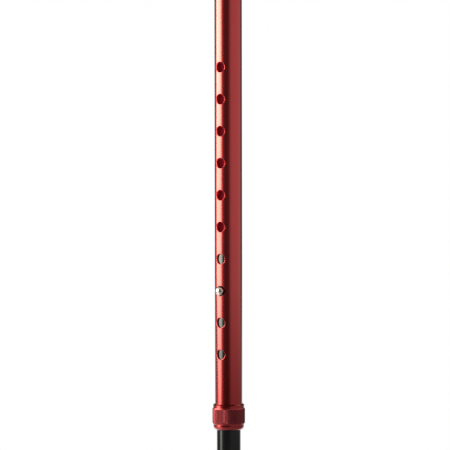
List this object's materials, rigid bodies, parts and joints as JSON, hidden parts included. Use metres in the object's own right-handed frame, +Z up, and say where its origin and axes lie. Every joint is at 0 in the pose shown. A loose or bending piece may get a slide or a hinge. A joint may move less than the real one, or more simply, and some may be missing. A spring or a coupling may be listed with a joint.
{
  "type": "walking cane",
  "caption": "Height-adjustable aluminium walking cane: red upper tube with an offset handle, snap-button holes and a fluted locking collar over a sliding black lower tube with a rubber tip.",
  "frame": {"origin": "on the shaft's axis, at the middle of the rubber tip's underside, where the cane meets the ground", "axes": "+Z up the shaft, +X the way the level grip points, -Y the way the row of button holes faces"},
  "size_m": [0.1684, 0.038, 0.9137],
  "materials": {
    "red_anodised": "gloss red anodised",
    "black_anodised": "gloss black",
    "bright_steel": "bright nickel plated",
    "spring_steel": "oiled spring steel",
    "zinc_steel": "zinc plated",
    "grip_rubber": "matt moulded rubber",
    "tip_rubber": "matt moulded rubber",
    "nylon": "natural nylon"
  },
  "bodies": {
    "upper_section": {"upper_tube": "red_anodised", "hand_grip": "grip_rubber", "handle_end_plug": "nylon"},
    "clamp": {"clamp_ring": "nylon"},
    "collar": {"locking_collar": "red_anodised"},
    "lower_section": {"lower_tube": "black_anodised", "button_spring": "spring_steel", "rubber_tip": "tip_rubber", "tip_washer": "zinc_steel"},
    "button": {"snap_button": "bright_steel"}
  },
  "joints": [
    {"name": "tube_slide", "type": "slide", "parent": "upper_section", "child": "lower_section", "axis": [0, 0, 1], "range_m": [-0.0508, 0.1778], "deforming": ["snap_button", "button_spring"]},
    {"name": "button_press", "type": "slide", "parent": "lower_section", "child": "button", "axis": [0, 1, 0], "range_m": [0, 0.0052], "stiffness_N_per_m": 1500, "springref_m": -0.003},
    {"name": "clamp_travel", "type": "slide", "parent": "upper_section", "child": "clamp", "axis": [0, 0, -1], "range_m": [0, 0.0031]},
    {"name": "collar_turn", "type": "hinge", "parent": "clamp", "child": "collar", "pos_m": [0, 0, 0.2432], "axis": [0, 0, -1], "range_deg": [0, 720]}
  ],
  "couplings": [
    {"joint": "clamp_travel", "follows": "collar_turn", "m_per_rad": 0.00023873}
  ]
}
